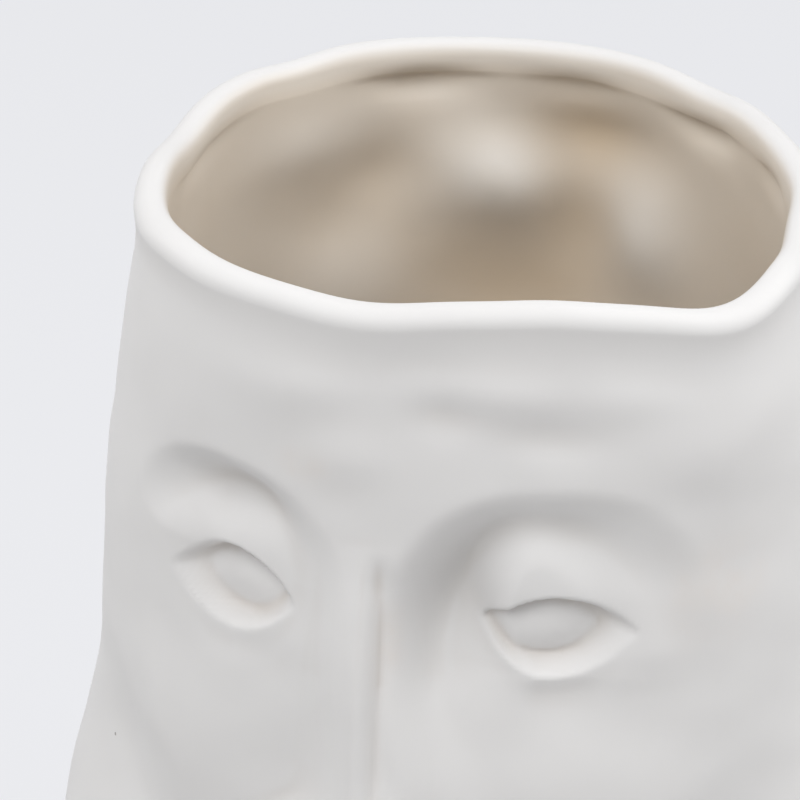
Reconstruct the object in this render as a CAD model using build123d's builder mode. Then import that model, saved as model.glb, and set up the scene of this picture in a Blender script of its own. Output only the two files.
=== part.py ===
# Hand-built stoneware face vase, an open head with a pressed face, in millimetres.
# The origin is the centre of the foot, +Z is up and the face looks along -Y.
# Angles run round the vase from the middle of the face, positive towards +X.

import math
import os

from build123d import *

# Heights of the build
slab_thickness = 8.0
wall_top = 209.0
lip_height = 6.0
belly_height = 66.0
cheek_height = 122.0
temple_height = 164.0

# Half widths from the middle plane to the outside of the wall
foot_half_width = 54.0
belly_half_width = 79.0
cheek_half_width = 69.0
temple_half_width = 65.5
rim_radius = 59.3

# Depths from the middle to the outside of the wall, front and back
foot_front = 46.0
chin_front = 56.0
mouth_front = 57.0
nose_front = 56.5
brow_front = 58.0
foot_back = 52.0
belly_back = 70.0
cheek_back = 66.5
temple_back = 64.0

# How square the plan is: 2 is an ellipse, more is squarer
rim_squareness = 2.0
cheek_squareness = 2.25

# Clay thicknesses
wall_thickness = 6.0
rim_thickness = 4.6
rim_thinning = 60.0
lip_overhang = 1.0
inner_relief = 0.6

# The rim pulled out of round by hand: waves in a turn, swing, angle of a high point
rim_wobbles = ((2, 1.8, 60.0), (3, 2.3, 71.0), (4, 1.6, 59.0))
wobble_start = 130.0

# One corner of the rim pulled out and the side beside it pressed in: angle, half angle, swing
rim_pulls = ((54.0, 10.0, 1.8), (84.0, 15.0, -3.0))
pull_start = 169.0

# Dips that fingers left in the lip: angle, half angle, share of the lip's height
lip_dips = ((-4.0, 13.0, 0.28), (53.0, 9.0, 0.26), (-92.0, 11.0, 0.30), (150.0, 11.0, 0.20))

# Places across the face are measured round it, on this radius
face_radius = 56.0

# Eye sockets pressed in by thumb, deepest under the brow and towards the nose
eye_height = 155.5
eye_spacing = 56.4
brow_rise = 26.5
socket_depth = 6.0
deepest_rise = 14.5
socket_drop = 17.5
socket_swing = 90.0
socket_yaw = 5.0
socket_roll = 8.0
socket_backing = 20.0
brow_facets = 3

# Soft swellings and hollows of the face, each with its half width and half height
mouth_height = 90.0
muzzle_swell = 4.0
muzzle_half_width = 24.0
muzzle_half_height = 18.0
chin_height = 54.0
chin_swell = 6.0
chin_half_width = 17.0
chin_half_height = 13.0
cheekbone_swell = 2.5
cheekbone_side = 36.0
cheekbone_spread = 14.0
cheek_hollow = 5.0
cheek_hollow_angle = 58.0
cheek_hollow_height = 104.0
cheek_hollow_spread = 15.0
cheek_hollow_half_height = 20.0

# Eyeballs and lids, rolled to points and pressed on
eye_width = 30.0
eye_swell = 5.2
eye_sink = 2.2
almond_facets = 10
eyeball_turn = 200.0
lid_thickness = 1.5
lid_margin = 1.5
upper_lid_edge = 14.0
lower_lid_edge = 24.0
lid_end = 80.0
luting_gap = 0.1

# Nose, set a little to one side: its base, length up to the bridge, width and reach
nose_shift = -2.2
nose_base_height = 107.0
nose_length = 57.0
nose_width = 31.0
nose_reach = 12.0
nose_root = 11.0
nose_ridge_share = 0.22
nose_shoulder_share = 0.55
nose_slope_share = 0.45

# Stations down the nose: share of its length, of its width and of its reach
nose_stations = (
    (0.00, 0.22, 0.08),
    (0.14, 0.28, 0.24),
    (0.39, 0.40, 0.48),
    (0.63, 0.62, 0.74),
    (0.81, 0.96, 1.00),
    (0.90, 1.00, 0.84),
    (1.00, 0.74, 0.30),
)

# Lips, two tapered rolls that meet at the mouth line
mouth_width = 46.0
upper_lip_height = 7.0
lower_lip_height = 9.0
lip_reach = 4.6
lip_tip = 0.9
lip_root = 2.0
mouth_gap = 0.3
lip_sections = 9
lip_facets = 8

# Pitch of the built-up bands, and of the points round a section in degrees
body_band = 13.0
face_band = 9.0
inner_band = 15.0
face_step = 5
back_step = 10
face_half_angle = 70
rim_sections = 24

side_stations = (
    (0.0, foot_half_width),
    (belly_height, belly_half_width),
    (cheek_height, cheek_half_width),
    (temple_height, temple_half_width),
    (wall_top, rim_radius),
)
front_stations = (
    (0.0, foot_front),
    (chin_height, chin_front),
    (mouth_height, mouth_front),
    (cheek_height, nose_front),
    (temple_height, brow_front),
    (wall_top, rim_radius),
)
back_stations = (
    (0.0, foot_back),
    (belly_height, belly_back),
    (cheek_height, cheek_back),
    (temple_height, temple_back),
    (wall_top, rim_radius),
)
square_stations = (
    (0.0, rim_squareness),
    (cheek_height, cheek_squareness),
    (wall_top, rim_squareness),
)


def ease(t):
    """0 to 1 with a level start and end."""
    t = min(1.0, max(0.0, t))
    return t * t * (3 - 2 * t)


def mound(across, up):
    """A soft round swelling, 1 at its middle."""
    return math.exp(-across * across - up * up)


def along(stations, height):
    """Smooth value at a height through (height, value) stations."""
    last = len(stations) - 1
    if height <= stations[0][0]:
        return stations[0][1]
    if height >= stations[last][0]:
        return stations[last][1]
    low = max(i for i in range(last) if stations[i][0] <= height)

    def slope(i):
        before = stations[max(i - 1, 0)]
        after = stations[min(i + 1, last)]
        return (after[1] - before[1]) / (after[0] - before[0])

    start, end = stations[low], stations[low + 1]
    span = end[0] - start[0]
    t = (height - start[0]) / span
    leaving = (1 + 2 * t) * start[1] + t * span * slope(low)
    arriving = (3 - 2 * t) * end[1] - (1 - t) * span * slope(low + 1)
    return (1 - t) ** 2 * leaving + t**2 * arriving


def touches(angle, marks):
    """Sum of the marks that fingers left round the rim, each an angle, a half angle and a swing."""
    total = 0.0
    for middle, half, swing in marks:
        away = math.remainder(math.degrees(angle) - middle, 360)
        total += swing * mound(away / half, 0)
    return total


def plain_radius(angle, height):
    """Outside of the wall before the face is pressed into it."""
    depth = along(front_stations if math.cos(angle) > 0 else back_stations, height)
    power = along(square_stations, height)
    side = abs(math.sin(angle)) / along(side_stations, height)
    front = abs(math.cos(angle)) / depth
    radius = (side**power + front**power) ** (-1 / power)
    pull = ease((height - wobble_start) / (wall_top - wobble_start))
    for waves, swing, high in rim_wobbles:
        radius += pull * swing * math.cos(waves * (angle - math.radians(high)))
    return radius + ease((height - pull_start) / (wall_top - pull_start)) * touches(angle, rim_pulls)


def face_relief(angle, height):
    """How far the face stands out of the plain wall, or in where it is negative."""
    if math.cos(angle) <= 0:
        return 0.0
    turn = abs(math.remainder(angle, 2 * math.pi))
    side = turn * face_radius
    relief = muzzle_swell * mound(side / muzzle_half_width, (height - mouth_height) / muzzle_half_height)
    relief += chin_swell * mound(side / chin_half_width, (height - chin_height) / chin_half_height)
    bone_across = (side - cheekbone_side) / cheekbone_spread
    relief += cheekbone_swell * mound(bone_across, (height - cheek_height) / cheekbone_spread)
    hollow_across = (math.degrees(turn) - cheek_hollow_angle) / cheek_hollow_spread
    hollow_up = (height - cheek_hollow_height) / cheek_hollow_half_height
    return relief - cheek_hollow * mound(hollow_across, hollow_up)


def clay_at(height):
    """Thickness of the wall, thinner towards the lip."""
    thinning = ease((height - wall_top + rim_thinning) / rim_thinning)
    return wall_thickness + (rim_thickness - wall_thickness) * thinning


def inner_radius(angle, height):
    """Inside of the wall, which follows part of the face and stays thick behind the sockets."""
    turn = abs(math.remainder(angle, 2 * math.pi))
    away = (turn * face_radius - eye_spacing / 2) / socket_backing
    backing = socket_depth * mound(away, (height - eye_height - deepest_rise) / socket_backing)
    relief = inner_relief * face_relief(angle, height)
    return plain_radius(angle, height) - clay_at(height) + relief - backing


def wall_radius(angle, height):
    """Outside of the wall before the sockets are pressed in."""
    return plain_radius(angle, height) + face_relief(angle, height)


def around(angle, radius, height):
    """The point at an angle, a radius and a height."""
    return Vector(radius * math.sin(angle), -radius * math.cos(angle), height)


def section_angles():
    """Angles of a section's points, close together over the face."""
    back_count = round((360 - 2 * face_half_angle) / back_step)
    face = list(range(-face_half_angle, face_half_angle + 1, face_step))
    back = [
        face_half_angle + (360 - 2 * face_half_angle) * i / back_count
        for i in range(1, back_count)
    ]
    return [math.radians(degrees) for degrees in face + back]


def section(height, radius_at):
    """Closed outline at a height, through the radius that a function gives at each angle."""
    angles = section_angles()
    points = [around(a, radius_at(a, height), 0) for a in angles]
    turns = [a - angles[0] for a in angles] + [2 * math.pi]
    return Edge.make_spline(points, periodic=True, parameters=turns)


def bands(start, end, pitch):
    """Heights from start up to end, the end left out, near a pitch apart."""
    count = max(1, round((end - start) / pitch))
    return [start + (end - start) * i / count for i in range(count)]


face_bottom = chin_height - chin_half_height
face_top = cheek_height + cheekbone_spread
outer_heights = (
    bands(slab_thickness, face_bottom, body_band)
    + bands(face_bottom, face_top, face_band)
    + bands(face_top, wall_top, body_band)
    + [wall_top]
)
inner_heights = bands(slab_thickness, wall_top, inner_band) + [wall_top]


def socket_press(side):
    """Ring that a thumb swings round in front of an eye, cutting the socket out of the wall."""
    angle = side * eye_spacing / 2 / face_radius
    out = around(angle, 1, 0)
    level = Vector(math.cos(angle), math.sin(angle), 0) * side
    lean = out * math.tan(math.radians(socket_yaw))
    rise = Vector(0, 0, math.tan(math.radians(socket_roll)))
    middle = around(angle, plain_radius(angle, eye_height), eye_height)
    plane = Plane(middle, x_dir=out, z_dir=(level + lean + rise) * -side)
    brow = (0, brow_rise)
    deepest = (-socket_depth, deepest_rise)
    bottom = (0, -socket_drop)
    clear = socket_depth + wall_thickness
    with BuildPart() as ring:
        with BuildSketch(plane):
            with BuildLine():
                floor = Line(bottom, deepest)
                arc = TangentArc(deepest, brow, tangent=floor % 1, mode=Mode.PRIVATE)
                Polyline(*[arc @ (i / brow_facets) for i in range(brow_facets + 1)])
                Polyline(brow, (clear, brow_rise + clear), (clear, -socket_drop), bottom)
            make_face()
        revolve(axis=Axis(middle + plane.x_dir * socket_swing, plane.y_dir))
    return ring.part


# Head before the sockets are pressed in, and the hollow inside it
with BuildPart() as plain_head:
    for height in outer_heights:
        with BuildSketch(Plane.XY.offset(height)):
            with BuildLine():
                add(section(height, wall_radius))
            make_face()
    loft(ruled=True)

with BuildPart() as hollow:
    for height in inner_heights:
        with BuildSketch(Plane.XY.offset(height)):
            with BuildLine():
                add(section(height, inner_radius))
            make_face()
    loft(ruled=True)

# Filled head, which every piece pressed on the face is cut to sit against
sockets = [socket_press(side) for side in (1, -1)]
with BuildPart() as head:
    add(plain_head.part)
    add(sockets, mode=Mode.SUBTRACT)

# Two halves of the wall, parted at the side seams
with BuildPart() as wall:
    add(plain_head.part)
    add(hollow.part, mode=Mode.SUBTRACT)

with BuildPart() as front_shell:
    add(wall.part)
    split(bisect_by=Plane.XZ, keep=Keep.TOP)
    add(sockets, mode=Mode.SUBTRACT)

with BuildPart() as back_shell:
    add(wall.part)
    split(bisect_by=Plane.XZ, keep=Keep.BOTTOM)

# Slab that the walls stand on, flat underneath
with BuildPart() as base_slab:
    for height in (0.0, slab_thickness):
        with BuildSketch(Plane.XY.offset(height)):
            with BuildLine():
                add(section(height, wall_radius))
            make_face()
    loft(ruled=True)


def lip_plane(angle):
    """Upright plane across the lip, its x axis pointing outwards."""
    outwards = around(angle, 1, 0)
    onwards = Vector(-math.cos(angle), -math.sin(angle), 0)
    middle = wall_radius(angle, wall_top) - (rim_thickness + lip_overhang) / 2
    return Plane(around(angle, middle, wall_top), x_dir=outwards, z_dir=onwards)


# Rolled coil along the top of the wall, in two halves that join at the side seams
lip_half_width = (rim_thickness + lip_overhang) / 2
with BuildPart() as rim_coil:
    for half in range(2):
        for step in range(rim_sections + 1):
            angle = math.pi * (half + step / rim_sections - 0.5)
            top = lip_height * (1 - touches(angle, lip_dips))
            shoulder = top - lip_half_width
            with BuildSketch(lip_plane(angle)):
                with BuildLine():
                    l1 = Line((lip_half_width, 0), (lip_half_width, shoulder))
                    l2 = RadiusArc(l1 @ 1, (0, top), -lip_half_width)
                    l3 = RadiusArc(l2 @ 1, (-lip_half_width, shoulder), -lip_half_width)
                    l4 = Line(l3 @ 1, (-lip_half_width, 0))
                    Line(l4 @ 1, l1 @ 0)
                make_face()
        loft(ruled=True)

# Nose, built up on the wall from the bridge to the wings, with a narrow ridge
with BuildPart() as nose:
    for down, width_share, reach_share in nose_stations:
        height = nose_base_height + nose_length * (1 - down)
        half = nose_width / 2 * width_share
        face = -wall_radius(0, height)
        tip = face - nose_reach * reach_share
        slope = face + (tip - face) * nose_slope_share
        right = [(half, face), (half * nose_shoulder_share, slope), (half * nose_ridge_share, tip)]
        left = [(-x, y) for x, y in reversed(right)]
        root = [(-half, face + nose_root), (half, face + nose_root)]
        with BuildSketch(Plane((nose_shift, 0, height))):
            with BuildLine():
                Polyline(*right, *left, *root, close=True)
            make_face()
    loft(ruled=True)
    add(head.part, mode=Mode.SUBTRACT)


def eye_plane(side, tilt):
    """Plane through the corners of an eye, its y axis tilted up from straight out."""
    angle = side * eye_spacing / 2 / face_radius
    floor = socket_depth * socket_drop / (deepest_rise + socket_drop)
    middle = around(angle, plain_radius(angle, eye_height) - floor - eye_sink, eye_height)
    along_eye = Vector(math.cos(angle), math.sin(angle), 0)
    lean = math.radians(tilt)
    out = around(angle, math.cos(lean), math.sin(lean))
    return Plane(middle, x_dir=along_eye, z_dir=along_eye.cross(out))


def almond(width, swell):
    """Outline of half an almond above its long axis, in short straight lengths."""
    arc = ThreePointArc((-width / 2, 0), (0, swell), (width / 2, 0), mode=Mode.PRIVATE)
    return Polyline(*[arc @ (i / almond_facets) for i in range(almond_facets + 1)], close=True)


def eyeball_on(side):
    """Almond of clay with its points at the corners of the eye."""
    plane = eye_plane(side, eyeball_turn / 2)
    with BuildPart() as ball:
        with BuildSketch(plane):
            with BuildLine():
                almond(eye_width, eye_swell)
            make_face()
        revolve(axis=Axis(plane.origin, plane.x_dir), revolution_arc=eyeball_turn)
        add(head.part, mode=Mode.SUBTRACT)
    return ball.part


def lid_on(side, edge, turn):
    """Skin of clay over the almond, from its free edge round into the socket."""
    plane = eye_plane(side, edge)
    with BuildPart() as lid:
        with BuildSketch(plane):
            with BuildLine():
                almond(eye_width + 2 * lid_margin, eye_swell + lid_thickness)
            make_face()
            with BuildLine():
                almond(eye_width, eye_swell + luting_gap)
            make_face(mode=Mode.SUBTRACT)
        revolve(axis=Axis(plane.origin, plane.x_dir), revolution_arc=turn)
        add(head.part, mode=Mode.SUBTRACT)
    return lid.part


with BuildPart() as left_eyeball:
    add(eyeball_on(1))

with BuildPart() as right_eyeball:
    add(eyeball_on(-1))

with BuildPart() as left_upper_lid:
    add(lid_on(1, upper_lid_edge, upper_lid_edge - lid_end))

with BuildPart() as right_upper_lid:
    add(lid_on(-1, upper_lid_edge, upper_lid_edge - lid_end))

with BuildPart() as left_lower_lid:
    add(lid_on(1, -lower_lid_edge, lid_end - lower_lid_edge))

with BuildPart() as right_lower_lid:
    add(lid_on(-1, -lower_lid_edge, lid_end - lower_lid_edge))


def lip_roll(bottom, top):
    """Tapered roll along the mouth between two heights, cut to sit on the wall."""
    middle = (bottom + top) / 2
    half_turn = math.asin(mouth_width / 2 / wall_radius(0, middle))
    with BuildPart() as roll:
        for step in range(lip_sections):
            share = 2 * step / (lip_sections - 1) - 1
            angle = half_turn * share
            fullness = lip_tip / lip_reach + (1 - lip_tip / lip_reach) * (1 - share * share)
            onwards = Vector(math.cos(angle), math.sin(angle), 0)
            centre = around(angle, wall_radius(angle, middle), middle)
            with BuildSketch(Plane(centre, x_dir=around(angle, 1, 0), z_dir=onwards)):
                turns = [math.pi * (i / lip_facets - 0.5) for i in range(lip_facets + 1)]
                swell = [(lip_reach * math.cos(t), (top - bottom) / 2 * math.sin(t)) for t in turns]
                front = [(out * fullness, up * fullness) for out, up in swell]
                back = [(-lip_root, front[-1][1]), (-lip_root, front[0][1])]
                with BuildLine():
                    Polyline(*front, *back, close=True)
                make_face()
        loft(ruled=True)
        add(head.part, mode=Mode.SUBTRACT)
    return roll.part


with BuildPart() as upper_lip:
    add(lip_roll(mouth_height + mouth_gap / 2, mouth_height + mouth_gap / 2 + upper_lip_height))

with BuildPart() as lower_lip:
    add(lip_roll(mouth_height - mouth_gap / 2 - lower_lip_height, mouth_height - mouth_gap / 2))

base_slab.part.label = "base_slab"
front_shell.part.label = "front_shell"
back_shell.part.label = "back_shell"
rim_coil.part.label = "rim_coil"
nose.part.label = "nose"
left_eyeball.part.label = "left_eyeball"
right_eyeball.part.label = "right_eyeball"
left_upper_lid.part.label = "left_upper_lid"
right_upper_lid.part.label = "right_upper_lid"
left_lower_lid.part.label = "left_lower_lid"
right_lower_lid.part.label = "right_lower_lid"
upper_lip.part.label = "upper_lip"
lower_lip.part.label = "lower_lip"

os.makedirs("parts", exist_ok=True)
export_step(base_slab.part, "parts/base_slab.step")
export_step(front_shell.part, "parts/front_shell.step")
export_step(back_shell.part, "parts/back_shell.step")
export_step(rim_coil.part, "parts/rim_coil.step")
export_step(nose.part, "parts/nose.step")
export_step(left_eyeball.part, "parts/left_eyeball.step")
export_step(right_eyeball.part, "parts/right_eyeball.step")
export_step(left_upper_lid.part, "parts/left_upper_lid.step")
export_step(right_upper_lid.part, "parts/right_upper_lid.step")
export_step(left_lower_lid.part, "parts/left_lower_lid.step")
export_step(right_lower_lid.part, "parts/right_lower_lid.step")
export_step(upper_lip.part, "parts/upper_lip.step")
export_step(lower_lip.part, "parts/lower_lip.step")
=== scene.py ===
import math

import bmesh
import bpy
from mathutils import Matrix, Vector, noise


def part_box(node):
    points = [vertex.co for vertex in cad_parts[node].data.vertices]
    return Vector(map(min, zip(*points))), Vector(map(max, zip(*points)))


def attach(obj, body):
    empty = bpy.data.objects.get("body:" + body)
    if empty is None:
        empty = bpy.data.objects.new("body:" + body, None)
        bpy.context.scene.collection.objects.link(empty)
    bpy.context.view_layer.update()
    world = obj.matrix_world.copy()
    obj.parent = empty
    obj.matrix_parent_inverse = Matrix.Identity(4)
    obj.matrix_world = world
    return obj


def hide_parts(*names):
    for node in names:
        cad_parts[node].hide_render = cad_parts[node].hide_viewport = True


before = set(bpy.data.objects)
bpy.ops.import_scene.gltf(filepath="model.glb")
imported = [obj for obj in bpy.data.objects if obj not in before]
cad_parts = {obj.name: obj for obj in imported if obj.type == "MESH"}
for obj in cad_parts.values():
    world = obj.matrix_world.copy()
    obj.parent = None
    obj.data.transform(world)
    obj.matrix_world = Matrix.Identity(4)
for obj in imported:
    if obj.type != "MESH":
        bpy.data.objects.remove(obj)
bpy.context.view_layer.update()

mm = 0.001
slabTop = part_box("base_slab")[1].z / mm
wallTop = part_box("rim_coil")[0].z / mm
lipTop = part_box("rim_coil")[1].z / mm
print("frame loaded, wall from", round(slabTop, 1), "to", round(wallTop, 1), "mm")


# small helpers

def ease(t):
    t = min(1.0, max(0.0, t))
    return t * t * (3 - 2 * t)


def mound(across, up):
    return math.exp(-across * across - up * up)


def along(stations, height):
    last = len(stations) - 1
    if height <= stations[0][0]:
        return stations[0][1]
    if height >= stations[last][0]:
        return stations[last][1]
    low = max(i for i in range(last) if stations[i][0] <= height)

    def slope(i):
        before = stations[max(i - 1, 0)]
        after = stations[min(i + 1, last)]
        return (after[1] - before[1]) / (after[0] - before[0])

    start, end = stations[low], stations[low + 1]
    span = end[0] - start[0]
    t = (height - start[0]) / span
    leaving = (1 + 2 * t) * start[1] + t * span * slope(low)
    arriving = (3 - 2 * t) * end[1] - (1 - t) * span * slope(low + 1)
    return (1 - t) ** 2 * leaving + t ** 2 * arriving


# plain head, the same stations as the solids, in millimetres

head = {
    "side": ((0, 54), (66, 79), (122, 69), (164, 65.5), (wallTop, 59.3)),
    "front": ((0, 46), (54, 56), (90, 57), (122, 56.5), (164, 58), (wallTop, 59.3)),
    "back": ((0, 52), (66, 70), (122, 66.5), (164, 64), (wallTop, 59.3)),
    "square": ((0, 2.0), (122, 2.25), (wallTop, 2.0)),
    "wobbles": ((2, 1.8, 60), (3, 2.3, 71), (4, 1.6, 59)),   # waves a turn, swing, high point
    "wobbleStart": 130,
    "wall": 6.0,
    "rimWall": 4.6,
    "thinning": 60,
    "innerRelief": 0.6,
}


def plainRadius(angle, height):
    depth = along(head["front"] if math.cos(angle) > 0 else head["back"], height)
    power = along(head["square"], height)
    side = abs(math.sin(angle)) / along(head["side"], height)
    front = abs(math.cos(angle)) / depth
    radius = (side ** power + front ** power) ** (-1 / power)
    pull = ease((height - head["wobbleStart"]) / (wallTop - head["wobbleStart"]))
    for count, swing, high in head["wobbles"]:
        radius += pull * swing * math.cos(count * (angle - math.radians(high)))
    return radius


# face, placed by distance across the front (mm on a 56 mm radius) and by height

face = {
    "radius": 56.0,
    "split": -0.8,                     # the two sockets part here, beside the ridge of the nose
    # the last two pairs set painted shade in the sockets: the socket depth where the grey darkening starts,
    # and the further depth over which it grows to full
    "socketDepth": 6.0, "eyeShare": 0.46, "socketShadeFrom": 2.0, "socketShadeRun": 9.0,
    "cheekbone": (36.0, 122.0, 14.0, 2.5),
    "cheekHollow": (58.0, 104.0, 15.0, 20.0, 5.0),
    "muzzle": (24.0, 90.0, 18.0, 4.0),
    "chin": (17.0, 54.0, 13.0, 6.0),
}
eye = {
    "side": {1: 28.6, -1: 27.8}, "half": {1: 13.4, -1: 12.4}, "height": 154.6,
    "lidRise": {1: 8.6, -1: 9.2}, "lidSwell": 0.7, "lidHalf": 6.5, "lidEdge": 1.8,
    "recess": 4.0, "cornerRun": 0.7,
    "ridgeIn": {1: 1.6, -1: 0.4}, "ridgeShort": {1: 2.2, -1: 1.4}, "ridgeTail": 10.0,
    "ridgeDrop": {1: 6.8, -1: 5.9}, "ridgeSwell": 0.55, "ridgeHalf": 2.6, "ridgeRun": 0.8, "sillRun": 2.8,
    "ballLift": 1.0, "ballHalf": (9.2, 5.0), "ballSwell": 2.0, "ballPower": 0.85,
    "bagDrop": 10.5, "bagHalf": 3.5, "bagDepth": 0.3,
}
noseShape = {
    "width": ((106, 9), (110, 13), (113.5, 13), (120, 8.4), (128, 7.6), (140, 7), (166, 5)),
    "reach": ((104, 0), (107, 5), (110, 9.5), (113, 10.4), (118, 7.6), (126, 6.1), (143, 4.4), (156, 2.6),
              (164, 0.9), (171, 0)),
    "middle": -3.2, "spread": 1.65, "ridge": 0.6, "flank": 2.0, "softFlank": 8.0,
    "sharpShare": 0.45, "sharpFrom": 112.0, "sharpRun": 24.0,
    "groove": 1.3, "grooveHalf": 2.0,
    "grooveFrom": 112.0, "grooveRun": 10.0, "grooveTop": 170.0, "grooveFade": 8.0,
}
mouth = {
    "height": 90.0, "half": 23.0, "reach": 4.4,
    "rolls": ((1, 7.0, 0.9, 0.18), (-1, 9.0, 1.05, 0)),      # above or below, height, fullness, bow
    "bowHalf": 5.0, "thinEnd": 0.25, "roundness": 0.6,
}


# sockets of the two hands: ends of the brow, level, rise and drop, then values by the turn round the socket,
# 0 towards the nose, 90 up and 180 outwards

sockets = {
    1: {
        "ends": (0.6, 50.5), "base": 148.0, "rise": 34.0, "drop": 32.0,
        "depth": ((-140, 0), (-85, 0.12), (-50, 0.42), (-20, 0.8), (0, 1.2), (30, 1.7), (60, 1.5), (90, 1.2),
                  (120, 0.75), (145, 0.35), (166, 0.03), (180, 0)),
        "reach": ((-85, 1.03), (0, 1.14), (45, 1.12), (90, 1.06), (125, 1.16), (180, 1.06)),
        "edge": ((-85, 0.5), (0, 0.5), (40, 0.5), (80, 0.4), (180, 0.38)),
        "lidStart": ((-85, 0.68), (-20, 0.58), (30, 0.62), (80, 0.9), (120, 0.88), (180, 0.68)),
        "lidRun": ((-85, 0.6), (0, 0.62), (40, 0.55), (85, 0.34), (120, 0.4), (180, 0.6)),
    },
    -1: {
        "ends": (6.0, 49.0), "base": 160.0, "rise": 22.0, "drop": 30.0,
        "depth": ((-85, 0), (-40, 0.25), (0, 0.5), (35, 0.7), (70, 1.0), (110, 1.1), (140, 0.55),
                  (166, 0.05), (180, 0)),
        "reach": ((-85, 1.03), (180, 1.03)),
        "edge": ((-85, 0.5), (35, 0.52), (80, 0.42), (180, 0.38)),
        "lidStart": ((-85, 0.66), (180, 0.66)),
        "lidRun": ((-85, 0.5), (180, 0.5)),
    },
}


def socketRelief(place, height):
    hand = 1 if place > face["split"] else -1
    socket = sockets[hand]
    inner, outer = socket["ends"]
    across = (hand * place - (inner + outer) / 2) / ((outer - inner) / 2)
    up = height - socket["base"]
    up /= socket["rise"] if up > 0 else socket["drop"]
    away = math.hypot(across, up)
    turn = math.degrees(math.atan2(up, -across))
    ring = ease((along(socket["reach"], turn) - away) / along(socket["edge"], turn))
    ring *= along(socket["depth"], turn)
    rise = ease((along(socket["lidStart"], turn) - away) / along(socket["lidRun"], turn))
    return -face["socketDepth"] * (ring * (1 - rise) + face["eyeShare"] * rise)


def eyeRelief(place, height):
    hand = 1 if place > 0 else -1
    half = eye["half"][hand]
    middle = eye["side"][hand]
    across = (abs(place) - middle) / half
    up = height - eye["height"]
    relief = eye["lidSwell"] * mound(across, (up - eye["lidRise"][hand]) / eye["lidHalf"])
    relief -= eye["bagDepth"] * mound(across, (up + eye["bagDrop"]) / eye["bagHalf"])
    arch = max(0.0, 1 - across * across)
    lowAcross = abs(abs(place) - middle + eye["ridgeIn"][hand]) / (half - eye["ridgeShort"][hand])
    lowArch = max(0.0, 1 - lowAcross * lowAcross)
    crease = eye["lidRise"][hand] * arch
    ridge = eye["ridgeTail"] * max(0.0, lowAcross - 1) - eye["ridgeDrop"][hand] * lowArch
    sill = min(1.0, max(0.0, (up - ridge) / (eye["sillRun"] * (2 - lowArch))))
    opening = ease((crease - up) / eye["lidEdge"]) * sill * (2 - sill)
    opening *= ease(arch / eye["cornerRun"])
    relief -= eye["recess"] * opening
    ballAcross = (abs(place) - middle + eye["ridgeIn"][hand]) / eye["ballHalf"][0]
    ballUp = (up - eye["ballLift"]) / eye["ballHalf"][1]
    ball = max(0.0, 1 - ballAcross ** 2 - ballUp ** 2)
    relief += eye["ballSwell"] * ball ** eye["ballPower"] * opening
    band = (up - ridge) / eye["ridgeHalf"]
    return relief + eye["ridgeSwell"] * math.exp(-band * band) * ease(lowArch / eye["ridgeRun"])


def noseRelief(place, height):
    reach = along(noseShape["reach"], height)
    width = along(noseShape["width"], height)
    broad = max(0.0, 1 - (place / (noseShape["spread"] * width)) ** 2) ** 2
    tooled = place > 0
    past = (abs(place) - noseShape["ridge"]) / noseShape["flank" if tooled else "softFlank"]
    sharp = noseShape["sharpShare"] * ease((height - noseShape["sharpFrom"]) / noseShape["sharpRun"])
    relief = reach * ((1 - sharp) * broad + sharp * (1 - ease(past)))
    if tooled:
        shown = ease((height - noseShape["grooveFrom"]) / noseShape["grooveRun"])
        shown *= ease((noseShape["grooveTop"] - height) / noseShape["grooveFade"])
        beside = (past - 1) * noseShape["flank"] / noseShape["grooveHalf"]
        relief -= shown * noseShape["groove"] * mound(beside, 0)
    return relief


def mouthRelief(side, height):
    across = side / mouth["half"]
    fullness = max(0.0, 1 - across * across)
    relief = 0.0
    for top, size, full, dent in mouth["rolls"]:
        bow = 1 - dent * mound(side / mouth["bowHalf"], 0)
        middle = mouth["height"] + top * size / 2
        taper = mouth["thinEnd"] + (1 - mouth["thinEnd"]) * fullness * bow
        t = (height - middle) / (size / 2 * taper)
        relief = max(relief, mouth["reach"] * full * fullness * max(0.0, 1 - t * t) ** mouth["roundness"])
    return relief


def faceRelief(angle, height):
    if math.cos(angle) <= 0:
        return 0.0
    side = abs(angle) * face["radius"]
    relief = socketRelief(angle * face["radius"], height)
    boneSide, boneHeight, boneSpread, boneSwell = face["cheekbone"]
    relief += boneSwell * mound((side - boneSide) / boneSpread, (height - boneHeight) / boneSpread)
    half, middle, halfHeight, swell = face["muzzle"]
    relief += swell * mound(side / half, (height - middle) / halfHeight)
    half, middle, halfHeight, swell = face["chin"]
    relief += swell * mound(side / half, (height - middle) / halfHeight)
    at, middle, spread, halfHeight, depth = face["cheekHollow"]
    away = (abs(math.degrees(angle)) - at) / spread
    return relief - depth * mound(away, (height - middle) / halfHeight)


def fineRelief(angle, height):
    if math.cos(angle) <= 0:
        return 0.0
    place = angle * face["radius"]
    relief = eyeRelief(place, height) + mouthRelief(abs(place), height)
    return relief + noseRelief(place - noseShape["middle"], height)


# hand marks, slow lumps in the clay and a few pressed ones on the forehead

hands = {
    "stains": ((51, 163, 7, 8), (-13, 184, 4, 3), (1, 152, 2, 8)),
    "swell": 0.6, "pitch": 26.0, "fineSwell": 0.22, "finePitch": 9.0, "radius": 60.0,
    "outerSeed": 3.0, "innerSeed": 11.0, "innerShare": 0.6,
    "calmShare": 0.6, "calmRun": 14.0, "footRun": 20.0,      # marks fade towards the lip and the foot
    "lumps": ((19, 200, 9, 4, 1.2), (-14, 199, 12, 6, 1.0), (46, 190, 12, 9, 1.1), (6, 206, 10, 4, -0.7),
              (10, 195, 6, 4, -0.9), (27, 192, 8, 3.5, -0.8), (-6, 186, 8, 5, 0.8), (38, 200, 8, 4, 0.8)),
}


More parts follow.
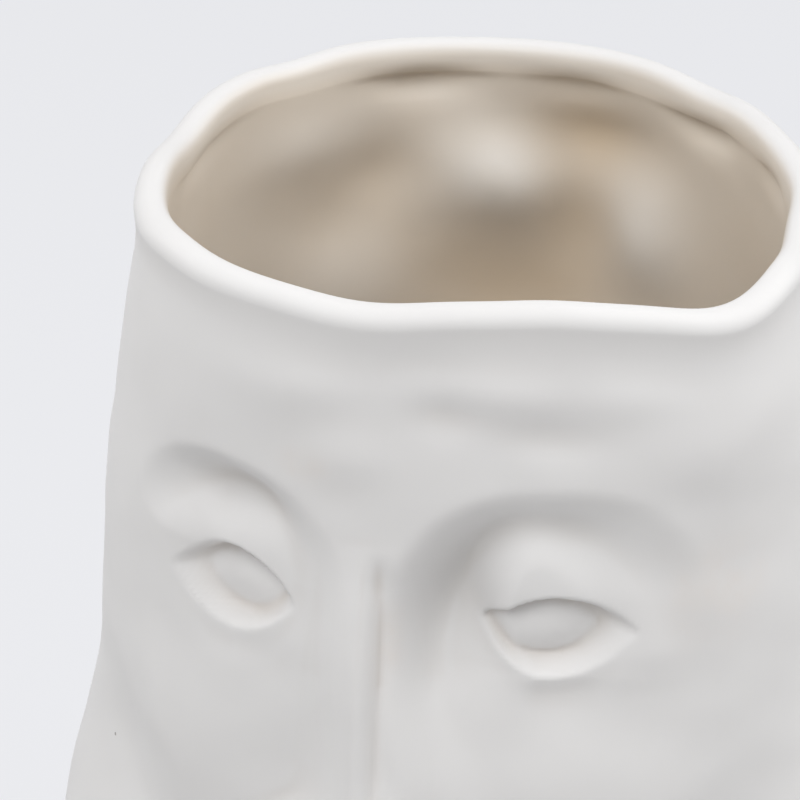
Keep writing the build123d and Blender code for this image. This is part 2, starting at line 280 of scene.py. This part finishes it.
def handMarks(angle, height, seed):
    place = Vector((math.sin(angle) * hands["radius"], -math.cos(angle) * hands["radius"], height))
    slow = noise.noise(place / hands["pitch"] + Vector((seed, 0, 0)))
    fine = noise.noise(place / hands["finePitch"] + Vector((0, seed, 0)))
    return hands["swell"] * slow + hands["fineSwell"] * fine


def foreheadLumps(angle, height):
    side = angle * face["radius"]
    return sum(swell * mound((side - at) / half, (height - middle) / halfHeight)
               for at, middle, half, halfHeight, swell in hands["lumps"])


def stainAt(angle, height):
    side = angle * face["radius"]
    return sum(mound((side - at) / half, (height - middle) / halfHeight)
               for at, middle, half, halfHeight in hands["stains"])


# lip, a rolled edge whose height and reach waver as the fingers left them

lip = {
    "half": 2.85,
    "proud": 0.25,
    "tuck": 0.25, "tuckDrop": 5.0, "tuckHalf": 6.0,
    "turnFrom": -20.0, "turnTo": 190.0, "rows": 18,
    # glaze start, run and pool on the lip: a real glaze edge, carried up the inner face of the lip as
    # painted shade there
    "drop": 0.7, "blend": 12.0, "glazeAndShadeFrom": 105.0, "glazeAndShadeRun": 70.0, "glazePoolAndShade": 0.3, "innerPower": 0.6,
    "dips": ((-4, 13, 1.8), (53, 9, 1.7), (-92, 11, 2.0), (150, 11, 1.3), (-128, 7, 0.8),
             (28, 9, -0.7), (-42, 9, -0.8), (68, 6, -0.6)),
    "pulls": ((54, 10, 1.8), (84, 15, -3.0)),
    "creases": ((-153, 9, 3.0), (178, 8, 2.4), (147, 9, 2.8), (118, 7, 2.0), (-97, 12, 1.4)),
    "creaseDrop": 1.8, "creaseAbove": 1.2, "creaseBelow": 4.5,
    "pullRun": 40.0, "dipRun": 18.0,
    "thickSwing": 0.25, "thickPitch": 2.3, "thickSeed": 4.0,
}


def turnBetween(angle, degrees):
    return (math.degrees(angle) - degrees + 180) % 360 - 180


def waves(angle, shapes):
    return sum(swing * mound(turnBetween(angle, at) / halfTurn, 0) for at, halfTurn, swing in shapes)


def rimPull(angle, height):
    return waves(angle, lip["pulls"]) * ease((height - wallTop + lip["pullRun"]) / lip["pullRun"])


def rimDip(angle, height):
    return waves(angle, lip["dips"]) * ease((height - wallTop + lip["dipRun"]) / lip["dipRun"])


def lipCentre(angle):
    pitch = lip["thickPitch"]
    around = Vector((math.sin(angle) * pitch, math.cos(angle) * pitch, lip["thickSeed"]))
    thick = lip["thickSwing"] * noise.noise(around)
    radius = plainRadius(angle, wallTop) + rimPull(angle, wallTop) - lip["half"] + lip["proud"]
    return radius, lipTop - lip["half"] - lip["drop"] - rimDip(angle, wallTop), lip["half"] + thick


# inside, pressed lumps on the back wall

inside = {
    "bumps": ((-167, 187, 12, 10, 5.0), (163, 178, 9, 12, 3.7), (-128, 197, 15, 8, 2.0),
              (-139, 164, 13, 12, 2.0), (176, 196, 13, 7, -4.0), (-146, 188, 8, 8, -1.4),
              (-133, 178, 8, 8, -0.7), (-170, 160, 17, 14, -3.0), (178, 179, 7, 13, -2.6)),
    "poolPlain": 0.5,                  # share of pooled glaze where the wall is plain
    "poolSpan": 8.0,                   # from the deepest pool to none, in bump height
}


def wallAt(height):
    thin = ease((height - wallTop + head["thinning"]) / head["thinning"])
    return head["wall"] + (head["rimWall"] - head["wall"]) * thin


def outerPoint(angle, height):
    radius = plainRadius(angle, height) + faceRelief(angle, height) + fineRelief(angle, height)
    calm = 1 - hands["calmShare"] * ease((height - wallTop + hands["calmRun"]) / hands["calmRun"])
    marks = handMarks(angle, height, hands["outerSeed"]) + foreheadLumps(angle, height)
    radius += marks * calm * ease((height - slabTop) / hands["footRun"])
    tuck = lip["tuck"] * mound((height - wallTop + lip["tuckDrop"]) / lip["tuckHalf"], 0)
    radius += rimPull(angle, height) - tuck
    return radius, height - rimDip(angle, height)


def innerSwell(angle, height):
    return sum(swell * mound(turnBetween(angle, at) / halfTurn, (height - middle) / halfHeight)
               for at, middle, halfTurn, halfHeight, swell in inside["bumps"])


def innerPoint(angle, height):
    radius = plainRadius(angle, height) + head["innerRelief"] * faceRelief(angle, height) - wallAt(height)
    overhang = 2 * lip["half"] - lip["proud"] - head["rimWall"]
    radius -= innerSwell(angle, height) + overhang * ease((height - wallTop + lip["blend"]) / lip["blend"])
    marks = hands["innerShare"] * handMarks(angle, height, hands["innerSeed"])
    radius += rimPull(angle, height) + marks * ease((height - slabTop) / hands["footRun"])
    for at, halfTurn, depth in lip["creases"]:
        up = height - wallTop + lip["creaseDrop"]
        up /= lip["creaseAbove"] if up > 0 else lip["creaseBelow"]
        radius += depth * mound(turnBetween(angle, at) / halfTurn, up)
    return radius, height - rimDip(angle, height)


def lipPoint(angle, turn):
    radius, height, half = lipCentre(angle)
    reach = math.cos(turn)
    if reach < 0:
        reach = -(-reach) ** lip["innerPower"]
    return radius + half * reach, height + half * math.sin(turn)


# rows of the skin from the slab up the outside, over the lip and down the inside

skin = {
    "outerRows": ((slabTop, 40, 4.0), (40, 144, 1.3), (144, 168, 0.6), (168, 186, 0.9), (186, 207, 1.4)),
    "innerRows": ((209, 202, 0.7), (202, 130, 1.6), (130, slabTop, 6.0)),
    "columns": 360,
    "gather": 0.5,                     # how far the columns crowd towards the face
    "hollowRadius": 4.0,               # a hollow this tight takes the full crease tint, a brownish clay tone deepened into painted shade
    "hollowSoften": 2,
}


def rowHeights(spans):
    heights = []
    for start, end, pitch in spans:
        count = max(1, round(abs(end - start) / pitch))
        heights += [start + (end - start) * i / count for i in range(count)]
    return heights + [spans[-1][1]]


def skinRows():
    rows = [("outer", h) for h in rowHeights(skin["outerRows"])]
    for i in range(lip["rows"] + 1):
        turn = lip["turnFrom"] + (lip["turnTo"] - lip["turnFrom"]) * i / lip["rows"]
        rows.append(("lip", math.radians(turn)))
    rows += [("inner", h) for h in rowHeights(skin["innerRows"])]
    return rows


# hollow measures how tightly the skin bends inwards; the material darkens by it, partly a brownish clay tone
# and partly painted shade
def markHollows(bm):
    layer = bm.verts.layers.float.new("hollow")
    for vert in bm.verts:
        ring = [edge.other_vert(vert).co for edge in vert.link_edges]
        bend = (sum(ring, Vector()) / len(ring) - vert.co).dot(vert.normal)
        spread = sum((place - vert.co).length_squared for place in ring) / len(ring)
        vert[layer] = min(1.0, max(0.0, bend / spread * skin["hollowRadius"] * mm))
    for step in range(skin["hollowSoften"]):
        soft = {vert: sum(edge.other_vert(vert)[layer] for edge in vert.link_edges) / len(vert.link_edges)
                for vert in bm.verts}
        for vert, value in soft.items():
            vert[layer] = (vert[layer] + value) / 2


def shapeSkin():
    rows = skinRows()
    bm = bmesh.new()
    stack = [bm.verts.new((1, 0, i)) for i in range(len(rows))]
    edges = [bm.edges.new(pair) for pair in zip(stack, stack[1:])]
    bmesh.ops.spin(bm, geom=stack + edges, cent=(0, 0, 0), axis=(0, 0, 1), dvec=(0, 0, 0),
                   angle=math.tau, steps=skin["columns"], use_merge=True)
    placers = {"outer": outerPoint, "lip": lipPoint, "inner": innerPoint}
    inLayer = bm.verts.layers.float.new("inside")
    poolLayer = bm.verts.layers.float.new("pool")
    stainLayer = bm.verts.layers.float.new("stain")
    # painted shade for the deep sockets, a grey darkening by socket depth
    socketShadeLayer = bm.verts.layers.float.new("socketShade")
    for vert in bm.verts:
        kind, value = rows[round(vert.co.z)]
        turn = math.atan2(vert.co.x, -vert.co.y)
        angle = turn - skin["gather"] * math.sin(turn)
        radius, height = placers[kind](angle, value)
        vert.co = (radius * math.sin(angle) * mm, -radius * math.cos(angle) * mm, height * mm)
        if kind == "outer":
            vert[stainLayer] = stainAt(angle, value)
            # painted shade: the deeper the socket presses in, the greyer its floor
            pressed = -socketRelief(angle * face["radius"], value)
            vert[socketShadeLayer] = ease((pressed - face["socketShadeFrom"]) / face["socketShadeRun"])
        elif kind == "inner":
            vert[inLayer] = 1.0
            vert[poolLayer] = inside["poolPlain"] - innerSwell(angle, value) / inside["poolSpan"]
        else:
            # glaze on the lip's inner face: partly the real glaze edge, partly painted shade darkening that
            # face
            vert[inLayer] = ease((math.degrees(value) - lip["glazeAndShadeFrom"]) / lip["glazeAndShadeRun"])
            vert[poolLayer] = lip["glazePoolAndShade"]
    rim = [edge for edge in bm.edges if edge.is_boundary]
    bmesh.ops.bridge_loops(bm, edges=rim)
    bmesh.ops.recalc_face_normals(bm, faces=bm.faces)
    bm.normal_update()
    markHollows(bm)
    mesh = bpy.data.meshes.new("vesselSkin")
    bm.to_mesh(mesh)
    bm.free()
    mesh.polygons.foreach_set("use_smooth", [True] * len(mesh.polygons))
    piece = bpy.data.objects.new("vesselSkin", mesh)
    bpy.context.scene.collection.objects.link(piece)
    print("skin shaped,", len(mesh.polygons), "faces")
    return piece


# shader maths on sockets

class Shade:
    def __init__(self, tree, socket):
        self.tree = tree
        self.socket = socket

    def maths(self, operation, first, second):
        return node(self.tree, "ShaderNodeMath", {"operation": operation}, {0: first, 1: second})

    def __add__(self, other):
        return self.maths("ADD", self, other)

    def __radd__(self, other):
        return self.maths("ADD", other, self)

    def __sub__(self, other):
        return self.maths("SUBTRACT", self, other)

    def __rsub__(self, other):
        return self.maths("SUBTRACT", other, self)

    def __mul__(self, other):
        return self.maths("MULTIPLY", self, other)

    def __rmul__(self, other):
        return self.maths("MULTIPLY", other, self)


def node(tree, kind, settings=None, inputs=None, out=0):
    made = tree.nodes.new(kind)
    for name, value in (settings or {}).items():
        setattr(made, name, value)
    for name, value in (inputs or {}).items():
        if isinstance(value, Shade):
            tree.links.new(value.socket, made.inputs[name])
        else:
            made.inputs[name].default_value = value
    return Shade(tree, made.outputs[out])


def newMaterial(name):
    material = bpy.data.materials.new(name)
    material.use_nodes = True
    tree = material.node_tree
    tree.nodes.clear()
    return material, tree


def mixColour(tree, factor, first, second):
    return node(tree, "ShaderNodeMix", {"data_type": "RGBA"},
                {"Factor": factor, 6: first, 7: second}, out=2)


def mark(tree, name):
    return node(tree, "ShaderNodeAttribute", {"attribute_name": name}, out="Fac")


def clouds(tree, place, pitch, detail):
    return node(tree, "ShaderNodeTexNoise", {}, {"Vector": place, "Scale": pitch, "Detail": detail})


def showSurface(tree, kind, shader):
    output = tree.nodes.new(kind)
    tree.links.new(shader.socket, output.inputs["Surface"])


# bisque outside, glaze inside, with painted shade in tight hollows and in the deep of the sockets; the pairs
# are pitch and detail of a cloud pattern

clay = {
    "body": (0.855, 0.85, 0.846, 1), "shade": (0.815, 0.805, 0.80, 1), "cloud": (45.0, 4.0),
    "glaze": (0.86, 0.83, 0.785, 1), "glazeDeep": (0.71, 0.595, 0.455, 1),
    "drift": (30.0, 3.0), "driftSwing": 0.4,
    # crease colour: darkening of tight hollows, partly a brownish clay tone and partly painted shade
    "crease": (0.58, 0.52, 0.46, 1), "creaseShadeShare": 0.65,
    # grey painted shade laid into the deep of the sockets
    "socketShade": (0.55, 0.54, 0.53, 1), "socketShadeShare": 0.4,
    "stain": (0.84, 0.73, 0.64, 1), "stainShare": 0.7, "blotch": (140.0, 3.0),
    "speck": (0.20, 0.17, 0.15, 1), "speckShare": 0.7,
    "speckPitch": 110.0, "speckRare": 0.955, "speckSize": 0.035,
    "grain": (1600.0, 3.0), "grainHeight": 0.00002, "grainStrength": 0.35,
    "roughness": 0.62, "glazeSheen": 0.24, "coat": 0.25, "coatRoughness": 0.22,
}


def speckMask(tree, place):
    grid = {"Vector": place, "Scale": clay["speckPitch"]}
    cell = node(tree, "ShaderNodeTexVoronoi", {}, grid, out="Distance")
    corner = node(tree, "ShaderNodeTexVoronoi", {}, grid, out="Position")
    pick = node(tree, "ShaderNodeTexWhiteNoise", {}, {"Vector": corner})
    rare = node(tree, "ShaderNodeMath", {"operation": "GREATER_THAN"}, {0: pick, 1: clay["speckRare"]})
    dot = node(tree, "ShaderNodeMath", {"operation": "LESS_THAN"}, {0: cell, 1: clay["speckSize"]})
    return rare * dot


def clayMaterial():
    material, tree = newMaterial("bisqueAndGlaze")
    place = node(tree, "ShaderNodeTexCoord", out="Object")
    inner = mark(tree, "inside")
    body = mixColour(tree, clouds(tree, place, *clay["cloud"]), clay["body"], clay["shade"])
    # tight hollows darkened towards the crease colour: brownish clay tone and painted shade together
    body = mixColour(tree, mark(tree, "hollow") * clay["creaseShadeShare"], body, clay["crease"])
    # painted shade: grey darkening in the deep of the sockets
    body = mixColour(tree, mark(tree, "socketShade") * clay["socketShadeShare"], body, clay["socketShade"])
    blotch = clouds(tree, place, *clay["blotch"])
    body = mixColour(tree, mark(tree, "stain") * blotch * blotch * clay["stainShare"], body, clay["stain"])
    drift = clay["driftSwing"] * clouds(tree, place, *clay["drift"])
    pool = mark(tree, "pool") + drift - clay["driftSwing"] / 2
    glaze = mixColour(tree, pool, clay["glaze"], clay["glazeDeep"])
    colour = mixColour(tree, inner, body, glaze)
    colour = mixColour(tree, speckMask(tree, place) * clay["speckShare"], colour, clay["speck"])
    bump = node(tree, "ShaderNodeBump", {}, {
        "Strength": clay["grainStrength"], "Distance": clay["grainHeight"],
        "Height": clouds(tree, place, *clay["grain"])}, out="Normal")
    shader = node(tree, "ShaderNodeBsdfPrincipled", {}, {
        "Base Color": colour, "Roughness": clay["roughness"] - clay["glazeSheen"] * inner,
        "Coat Weight": clay["coat"] * inner, "Coat Roughness": clay["coatRoughness"], "Normal": bump})
    showSurface(tree, "ShaderNodeOutputMaterial", shader)
    return material


# floor, light and camera

studio = {
    "floor": (0.56, 0.56, 0.56, 1), "backdrop": (0.90, 0.908, 0.943, 1),
    "sky": (1.0, 0.985, 0.98, 1), "skyLevel": 0.30,
    "floorSize": 6.0, "floorGlow": 0.8, "lampAim": (0, 0, 0.15),
}


def cameraShare(tree):
    rays = tree.nodes.new("ShaderNodeLightPath")
    total = Shade(tree, rays.outputs["Is Camera Ray"]) + Shade(tree, rays.outputs["Is Glossy Ray"])
    total += Shade(tree, rays.outputs["Is Transmission Ray"])
    return node(tree, "ShaderNodeMath", {"operation": "MINIMUM"}, {0: total, 1: 1.0})


def floorPiece():
    bm = bmesh.new()
    bmesh.ops.create_grid(bm, x_segments=1, y_segments=1, size=studio["floorSize"])
    mesh = bpy.data.meshes.new("floor")
    bm.to_mesh(mesh)
    bm.free()
    piece = bpy.data.objects.new("floor", mesh)
    bpy.context.scene.collection.objects.link(piece)
    material, tree = newMaterial("paleFloor")
    matte = node(tree, "ShaderNodeBsdfDiffuse", {}, {"Color": studio["floor"]})
    glow = node(tree, "ShaderNodeEmission", {}, {"Color": studio["backdrop"], "Strength": 1.0})
    share = cameraShare(tree) * studio["floorGlow"]
    blend = node(tree, "ShaderNodeMixShader", {}, {0: share, 1: matte, 2: glow})
    showSurface(tree, "ShaderNodeOutputMaterial", blend)
    mesh.materials.append(material)


def skyLight():
    world = bpy.data.worlds.new("studioSky")
    world.use_nodes = True
    tree = world.node_tree
    tree.nodes.clear()
    dome = node(tree, "ShaderNodeBackground", {}, {"Color": studio["sky"], "Strength": studio["skyLevel"]})
    pale = node(tree, "ShaderNodeBackground", {}, {"Color": studio["backdrop"], "Strength": 1.0})
    blend = node(tree, "ShaderNodeMixShader", {}, {0: cameraShare(tree), 1: dome, 2: pale})
    showSurface(tree, "ShaderNodeOutputWorld", blend)
    bpy.context.scene.world = world


lamps = (
    {"name": "keySoftbox", "place": (-0.10, -0.75, 1.02), "size": 0.7, "power": 6.6},
    {"name": "rightTop", "place": (0.75, -0.05, 1.20), "size": 0.6, "power": 4.6},
    {"name": "rightSide", "place": (0.90, 0.40, 0.60), "size": 0.6, "power": 3.4},
    {"name": "leftSide", "place": (-0.85, 0.20, 0.60), "size": 0.6, "power": 2.5},
)
shot = {
    "aim": (-0.0175, 0.0086, 0.162), "azimuth": 17.5, "elevation": 28.0, "distance": 0.62,
    "lens": 154.8, "nearest": 0.01,
}


def aimed(thing, place, target):
    thing.location = place
    thing.rotation_euler = (Vector(target) - Vector(place)).to_track_quat("-Z", "Y").to_euler()
    bpy.context.scene.collection.objects.link(thing)


def lightAndCamera():
    for lamp in lamps:
        light = bpy.data.lights.new(lamp["name"], "AREA")
        light.size = lamp["size"]
        light.energy = lamp["power"]
        aimed(bpy.data.objects.new(lamp["name"], light), lamp["place"], studio["lampAim"])
    turn, lift = math.radians(shot["azimuth"]), math.radians(shot["elevation"])
    out = Vector((math.sin(turn) * math.cos(lift), -math.cos(turn) * math.cos(lift), math.sin(lift)))
    camera = bpy.data.cameras.new("camera")
    camera.lens = shot["lens"]
    camera.clip_start = shot["nearest"]
    viewer = bpy.data.objects.new("camera", camera)
    aimed(viewer, Vector(shot["aim"]) + shot["distance"] * out, shot["aim"])
    bpy.context.scene.camera = viewer
    print("light and camera set")


clayFinish = clayMaterial()
vesselSkin = shapeSkin()
vesselSkin.data.materials.append(clayFinish)
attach(vesselSkin, "root")
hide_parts("front_shell", "back_shell", "rim_coil", "nose", "left_eyeball", "right_eyeball",
            "left_upper_lid", "right_upper_lid", "left_lower_lid", "right_lower_lid",
            "upper_lip", "lower_lip")

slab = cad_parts["base_slab"]
slab.data.materials.clear()
slab.data.materials.append(clayFinish)
print("slab finished")

floorPiece()
skyLight()
lightAndCamera()
bpy.context.scene.view_settings.view_transform = "Standard"
